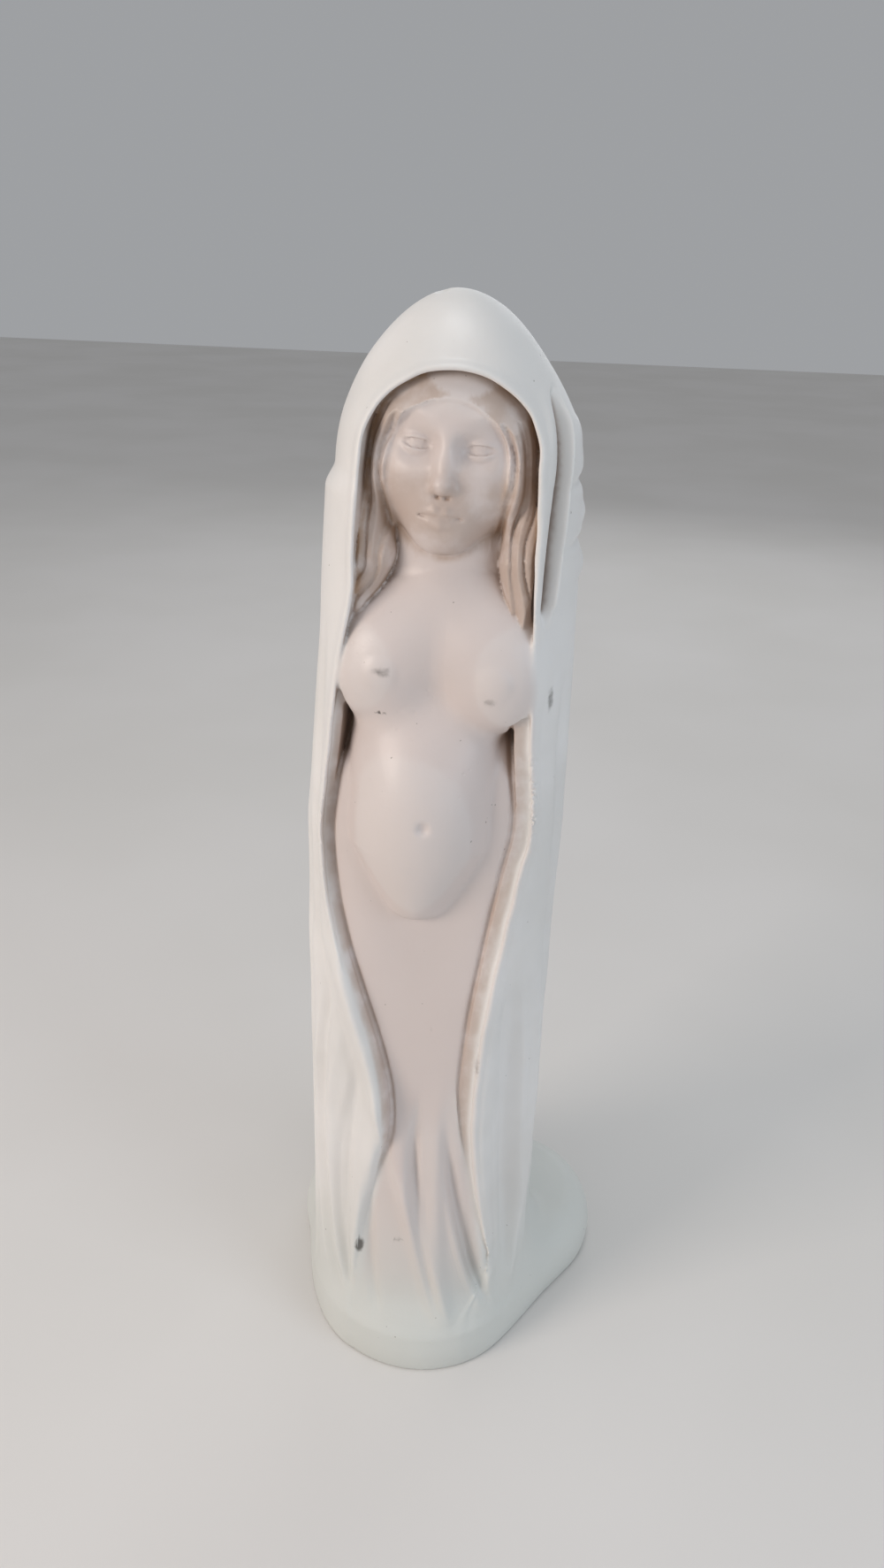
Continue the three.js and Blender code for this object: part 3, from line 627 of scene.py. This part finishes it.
def model_figurine():
    lines = [grid_lines(axis) for axis in range(3)]
    points, quads = surface_net(joined(values_near_face(*lines)), lines)
    piece = bpy.data.objects.new("figurine_casting", mesh_from(points, quads, "figurine_casting"))
    bpy.context.scene.collection.objects.link(piece)
    only(piece)
    thin = piece.modifiers.new("thin", "DECIMATE")
    thin.ratio = min(1.0, MOST_TRIANGLES / (2.0 * len(quads)))
    bpy.ops.object.modifier_apply(modifier="thin")
    settled = settle(read_places(piece.data))
    settled[np.abs(settled[:, 2]) < 0.03, 2] = 0.0
    piece.data.vertices.foreach_set("co", (settled * MM).ravel())
    piece.data.update()
    bpy.ops.object.shade_smooth_by_angle(angle=math.radians(62.0))
    return piece


# Marks on the casting, and two lines of painted shade where the left breast and the belly turn under: place in
# millimetres, half-sizes across and up, strength
MARKS_AND_SHADE_LINES = [
    ((-7.1, -13.5, 18.2), 0.7, 1.3, 1.1),
    ((-1.7, -16.0, 20.8), 1.3, 0.6, 0.6),
    ((4.6, -16.0, 17.0), 1.0, 1.0, 0.25),
    ((13.6, -6.6, 98.0), 0.5, 2.2, 0.75),
    ((-5.0, -12.2, 101.2), 1.8, 0.9, 0.5),
    # painted shade where the left breast turns under
    ((-5.0, -11.5, 95.9), 1.1, 0.16, 1.0),
    ((7.2, -11.8, 98.4), 1.5, 1.0, 0.5),
    ((9.0, -10.0, 95.9), 0.15, 0.15, 1.0),
    ((-0.5, -11.9, 67.0), 1.2, 1.0, 0.4),
    # painted shade along the belly's lowest point
    ((-0.6, -11.8, 69.4), 2.2, 0.35, 0.5),
    ((1.6, -13.0, 54.3), 0.2, 0.3, 0.9),
    ((7.8, -13.2, 50.0), 0.8, 5.5, 0.45),
    ((13.3, -10.0, 31.3), 0.4, 2.2, 0.5),
    ((12.0, -10.5, 50.0), 0.9, 3.5, 0.32),
    ((-8.4, -12.0, 23.5), 0.5, 0.9, 0.45),
    ((10.6, -14.0, 15.2), 0.5, 1.2, 0.45),
    ((1.5, -7.6, 135.2), 0.9, 0.25, 0.55),
]


def marks_and_shade_lines_at(x, y, z):
    total = np.zeros_like(x)
    for (px, py, pz), across, up, strength in MARKS_AND_SHADE_LINES:
        total += strength * bump((x - px) / across) * bump((z - pz) / up) * bump((y - py) / 4.0)
    return total


def paint_guides(piece):
    """Leaves on the mesh what the finish needs to know: hollows, the line at the foot of the recess's wall, hair,
    smudges, and where shade is painted in the recess and along the jaw.
    """
    mesh = piece.data
    points = read_places(mesh)
    x, y, z = points.T
    normals = np.empty(len(points) * 3)
    mesh.vertices.foreach_get("normal", normals)
    normals = normals.reshape(-1, 3)
    # How shut in each place is; the finish darkens there with brown grime and painted shade
    hollow = np.zeros(len(points))
    for reach, share in ((0.7, 0.3), (1.8, 0.35), (4.0, 0.35)):
        away = points + normals * reach
        hollow += share * np.clip(1.0 - in_batches(form, *away.T) / reach, 0.0, 1.5)
    face = in_batches(lambda *p: cloak_face(*p)[0], x, y, z)
    wall = in_batches(lambda a, b, c: cloak(a, b, c, cloak_face(a, b, c)[0])[1], x, y, z)
    front = (y < 0) * ramp(8.0, 16.0, z)
    inner_line = bump((wall + 0.1) / 0.5) * front * ramp(-0.5, -1.1, face)
    across, back, up = in_head(x, y, z)
    skin = head(across, back, up)
    locks = hair(x, y, z, across, back, up, skin)
    high = ramp(105.0, 107.0, z) * ramp(-0.9, -1.15, face)
    hairy = ramp(0.12, 0.0, locks) * ramp(0.0, 0.1, skin) * high
    # Painted shade on the neck and hair just beyond the jaw, below the eyes
    jaw_shade = bump((skin - 0.25) / 0.35) * ramp(0.0, -4.0, up) * high
    # Painted shade with a warm cast on everything sunk below the cloak's face, and beside the recess's wall
    lining = np.maximum(ramp(-0.4, -2.0, face), 0.8 * front * ramp(0.0, -1.2, wall))
    guides = {"hollow": hollow, "inner_line": inner_line, "hairy": hairy, "jaw_line": jaw_shade,
              "smudge": marks_and_shade_lines_at(x, y, z), "lining": lining}
    for name, values in guides.items():
        attribute = mesh.attributes.new(name, "FLOAT", "POINT")
        attribute.data.foreach_set("value", values.astype(np.float32))


# Finishes
class Value:
    """A socket that takes part in sums as a number does."""

    def __init__(self, paint, socket):
        self.paint = paint
        self.socket = socket

    def __add__(self, other):
        return self.paint.maths("ADD", self, other)

    def __sub__(self, other):
        return self.paint.maths("SUBTRACT", self, other)

    def __rsub__(self, other):
        return self.paint.maths("SUBTRACT", other, self)

    def __mul__(self, other):
        return self.paint.maths("MULTIPLY", self, other)

    __radd__ = __add__
    __rmul__ = __mul__


class Paint:
    """A material under construction."""

    def __init__(self, name):
        self.material = bpy.data.materials.new(name)
        self.material.use_nodes = True
        self.tree = self.material.node_tree
        self.tree.nodes.clear()

    def node(self, kind, settings=None, sockets=None, output=0):
        made = self.tree.nodes.new("ShaderNode" + kind)
        for key, setting in (settings or {}).items():
            if key == "stops":
                ramp_ = made.color_ramp
                for element, (position, shade) in zip(ramp_.elements, setting):
                    element.position, element.color = position, shade
                for position, shade in setting[2:]:
                    ramp_.elements.new(position).color = shade
            else:
                setattr(made, key, setting)
        for key, value in (sockets or {}).items():
            if isinstance(value, Value):
                self.tree.links.new(value.socket, made.inputs[key])
            else:
                made.inputs[key].default_value = value
        return Value(self, made.outputs[output]) if made.outputs else None

    def maths(self, operation, a, b=0.0, clamped=False):
        return self.node("Math", {"operation": operation, "use_clamp": clamped}, {0: a, 1: b})

    def between(self, low, high, value):
        """From 0 at low to 1 at high."""
        settings = {"interpolation_type": "SMOOTHSTEP"}
        return self.node("MapRange", settings, {"Value": value, "From Min": low, "From Max": high})

    def mix(self, share, a, b):
        return self.node("Mix", {"data_type": "RGBA"}, {0: share, 6: a, 7: b}, 2)

    def guide(self, name):
        return self.node("Attribute", {"attribute_name": name}, output=2)

    def noise(self, scale, detail=3.0, roughness=0.5, place=None):
        sockets = {"Scale": scale, "Detail": detail, "Roughness": roughness, "Vector": place or self.place()}
        return self.node("TexNoise", None, sockets)

    def place(self):
        return self.node("TexCoord", output=3)


def colour(red, green, blue):
    """A colour as a painter would read it off a chart, in linear light."""
    return tuple((c / 255.0)**2.2 for c in (red, green, blue)) + (1.0,)


def alabaster_resin():
    paint = Paint("alabaster_resin")
    height = paint.node("SeparateXYZ", None, {0: paint.place()}, 2)
    cloudy, mottled, fine = paint.noise(55.0), paint.noise(260.0, 4.0), paint.noise(1500.0, 2.0)
    hollow, lining = paint.guide("hollow"), paint.guide("lining")
    body = paint.mix(paint.between(0.35, 0.65, cloudy), colour(225, 223, 220), colour(234, 232, 230))
    # Painted warm shade over the figure, face and hood inside the recess
    body = paint.mix(lining * 0.75, body, colour(211, 196, 191))
    foot = 1.0 - paint.between(0.004, 0.03, height)
    body = paint.mix(foot * 0.7, body, colour(205, 209, 203))
    # Brown grime and painted shade in hollows, stronger from the belly up
    grime_and_shade = paint.between(0.38, 1.05, hollow + 0.3 * (mottled - 0.5))
    grime_and_shade = grime_and_shade * (0.35 + 0.65 * paint.between(0.075, 0.092, height))
    body = paint.mix(grime_and_shade * 0.75, body, colour(146, 124, 110))
    # Brown along the foot of the recess's wall and on the hair, with painted shade along the jaw
    brown_and_jaw_shade = paint.maths("ADD", paint.guide("inner_line") * 0.4, paint.guide("hairy") * 0.45)
    brown_and_jaw_shade = paint.maths("ADD", brown_and_jaw_shade, paint.guide("jaw_line") * 0.6, True)
    brown_and_jaw_shade = brown_and_jaw_shade * paint.between(0.25, 0.6, mottled)
    body = paint.mix(brown_and_jaw_shade, body, colour(158, 124, 92))
    # Dark smudges, with painted shade lines under the left breast and the belly
    marks_and_shade_share = paint.between(0.3, 0.75, paint.guide("smudge") + 0.55 * (mottled - 0.5) + 0.3 * (fine - 0.5))
    body = paint.mix(marks_and_shade_share * 0.85, body, colour(70, 64, 58))
    specks = paint.between(0.8, 0.82, paint.noise(1300.0, 1.0))
    body = paint.mix(specks * 0.5, body, colour(96, 84, 72))
    gloss = 0.4 + 0.14 * mottled + 0.22 * grime_and_shade + 0.2 * marks_and_shade_share
    bubbles = paint.node("TexVoronoi", None, {"Vector": paint.place(), "Scale": 700.0, "Randomness": 1.0})
    pits = 1.0 - paint.between(0.06, 0.2, bubbles)
    relief = 0.5 * mottled + 0.18 * fine - 0.35 * pits * paint.between(0.5, 0.7, cloudy)
    normal = paint.node("Bump", None, {"Strength": 0.25, "Distance": 0.0003, "Height": relief})
    resin = paint.node("BsdfPrincipled", {"subsurface_method": "RANDOM_WALK"}, {
        "Base Color": body, "Roughness": gloss, "Normal": normal, "IOR": 1.5,
        "Subsurface Weight": 0.3, "Subsurface Radius": (1.0, 0.95, 0.9), "Subsurface Scale": 0.0005,
        "Coat Weight": 0.12, "Coat Roughness": 0.22,
    })
    paint.node("OutputMaterial", None, {"Surface": resin})
    return paint.material


def pale_floor():
    paint = Paint("pale_floor")
    shade = paint.mix(paint.between(0.3, 0.7, paint.noise(9.0)), colour(220, 217, 213), colour(226, 223, 220))
    matt = paint.node("BsdfPrincipled", None, {"Base Color": shade, "Roughness": 0.75})
    paint.node("OutputMaterial", None, {"Surface": matt})
    return paint.material


casting = model_figurine()
paint_guides(casting)
casting.data.materials.append(alabaster_resin())
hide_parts("figurine")
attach(casting, "root")

# The floor, lights and camera
FLOOR_SIZE = 3.0
bpy.ops.object.select_all(action="DESELECT")
bpy.ops.mesh.primitive_plane_add(size=FLOOR_SIZE)
floor = bpy.context.object
floor.name = "floor"
floor.data.materials.append(pale_floor())

AIM = Vector((0.0, 0.0, 0.07))


def soft_light(name, place, size, power, tint):
    lamp = bpy.data.lights.new(name, "AREA")
    lamp.size, lamp.energy, lamp.color = size, power, tint
    holder = bpy.data.objects.new(name, lamp)
    bpy.context.scene.collection.objects.link(holder)
    holder.location = place
    holder.rotation_euler = (AIM - Vector(place)).to_track_quat("-Z", "Y").to_euler()


soft_light("warm_left", (-0.30, -0.26, 0.20), 0.16, 0.78, (1.0, 0.88, 0.79))
soft_light("cool_right", (0.34, -0.20, 0.20), 0.20, 0.40, (0.76, 0.88, 1.0))
soft_light("overhead", (-0.02, -0.05, 0.60), 0.20, 0.62, (0.98, 0.99, 1.0))
soft_light("behind", (0.05, 0.45, 0.30), 0.35, 0.3, (0.96, 0.98, 1.0))
room = bpy.data.worlds.new("room")
room.use_nodes = True
room.node_tree.nodes["Background"].inputs["Color"].default_value = (0.78, 0.80, 0.83, 1.0)
room.node_tree.nodes["Background"].inputs["Strength"].default_value = 0.44
bpy.context.scene.world = room
bpy.context.scene.view_settings.view_transform = "Standard"

CAMERA_AT = Vector((0.018652, -0.132716, 0.144932))
CAMERA_YAW, CAMERA_PITCH, CAMERA_ROLL = math.radians(7.798), math.radians(25.0), math.radians(1.744)
PHOTO_WIDTH, PHOTO_HEIGHT = 1000, 1773
SENSOR, FOCAL_PIXELS = 36.0, 1330.0


def add_camera():
    camera = bpy.data.cameras.new("camera")
    camera.sensor_width = SENSOR
    camera.lens = SENSOR * FOCAL_PIXELS / PHOTO_HEIGHT
    camera.clip_start = 0.001
    holder = bpy.data.objects.new("camera", camera)
    bpy.context.scene.collection.objects.link(holder)
    ahead = Vector((-math.sin(CAMERA_YAW) * math.cos(CAMERA_PITCH), math.cos(CAMERA_YAW) * math.cos(CAMERA_PITCH),
                    -math.sin(CAMERA_PITCH)))
    level = Vector((math.cos(CAMERA_YAW), math.sin(CAMERA_YAW), 0.0))
    upward = level.cross(ahead)
    right = level * math.cos(CAMERA_ROLL) + upward * math.sin(CAMERA_ROLL)
    up = upward * math.cos(CAMERA_ROLL) - level * math.sin(CAMERA_ROLL)
    turn = Matrix((right, up, -ahead)).transposed().to_4x4()
    holder.matrix_world = Matrix.Translation(CAMERA_AT) @ turn
    bpy.context.scene.camera = holder


add_camera()
